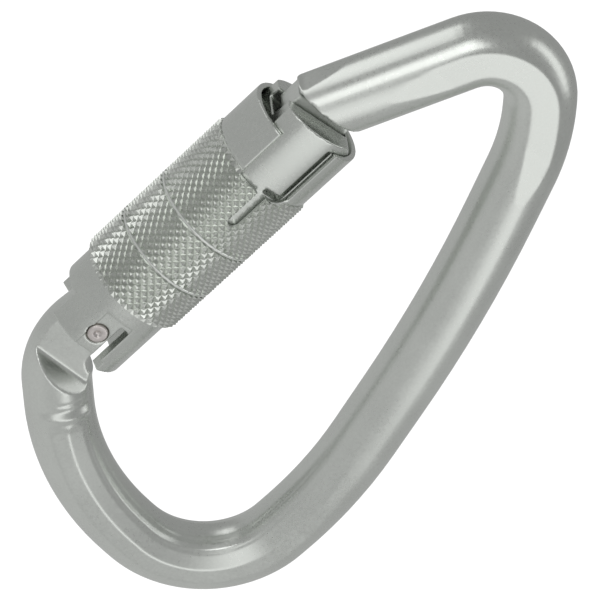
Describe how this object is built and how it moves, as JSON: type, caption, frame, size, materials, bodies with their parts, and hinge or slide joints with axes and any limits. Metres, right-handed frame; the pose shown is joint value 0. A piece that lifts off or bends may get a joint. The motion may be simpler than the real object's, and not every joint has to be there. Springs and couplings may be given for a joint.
{
  "type": "locking carabiner",
  "caption": "Steel pear-shaped carabiner with a sprung inward-swinging gate and a knurled sleeve that slides and twists to unlock it.",
  "frame": {"origin": "highest point of the seat on the inside of the tight top bend, in the bar's middle plane", "axes": "+Z along the closed gate from the hinge to the nose, +X from the gate to the spine, +Y across the bar's plane away from the sleeve's window"},
  "size_m": [0.0737, 0.0208, 0.1292],
  "materials": {
    "bar_steel": "zinc-plated satin steel",
    "gate_steel": "zinc-plated satin steel, turned",
    "sleeve_steel": "zinc-plated steel, knurled and turned",
    "rivet_steel": "bright upset steel",
    "spring_steel": "drawn spring wire"
  },
  "bodies": {
    "frame": {"frame": "bar_steel"},
    "gate": {"gate_barrel": "gate_steel", "hinge_collar": "gate_steel", "hinge_rivet": "rivet_steel", "guide_pin": "rivet_steel", "gate_spring": "spring_steel", "sleeve_spring": "spring_steel"},
    "plunger": {"gate_plunger": "gate_steel"},
    "washer": {"thrust_washer": "gate_steel"},
    "sleeve": {"locking_sleeve": "sleeve_steel"}
  },
  "joints": [
    {"name": "gate_swing", "type": "hinge", "parent": "frame", "child": "gate", "pos_m": [-0.02062, 0, -0.07767], "axis": [0, 1, 0], "range_deg": [0, 20], "stiffness_Nm_per_rad": 0.15, "springref_deg": -34.38},
    {"name": "plunger_slide", "type": "slide", "parent": "gate", "child": "plunger", "axis": [0, 0, 1], "range_m": [0, 0.0007], "deforming": ["gate_spring"]},
    {"name": "sleeve_slide", "type": "slide", "parent": "gate", "child": "washer", "axis": [0, 0, 1], "range_m": [-0.007, 0], "stiffness_N_per_m": 400, "springref_m": 0.01, "deforming": ["sleeve_spring"]},
    {"name": "sleeve_twist", "type": "hinge", "parent": "washer", "child": "sleeve", "pos_m": [-0.01922, 0, -0.04867], "axis": [0, 0, -1], "range_deg": [0, 86], "stiffness_Nm_per_rad": 0.03, "springref_deg": -28.65}
  ],
  "couplings": [
    {"joint": "plunger_slide", "follows": "gate_swing", "m_per_rad": 0.002}
  ]
}
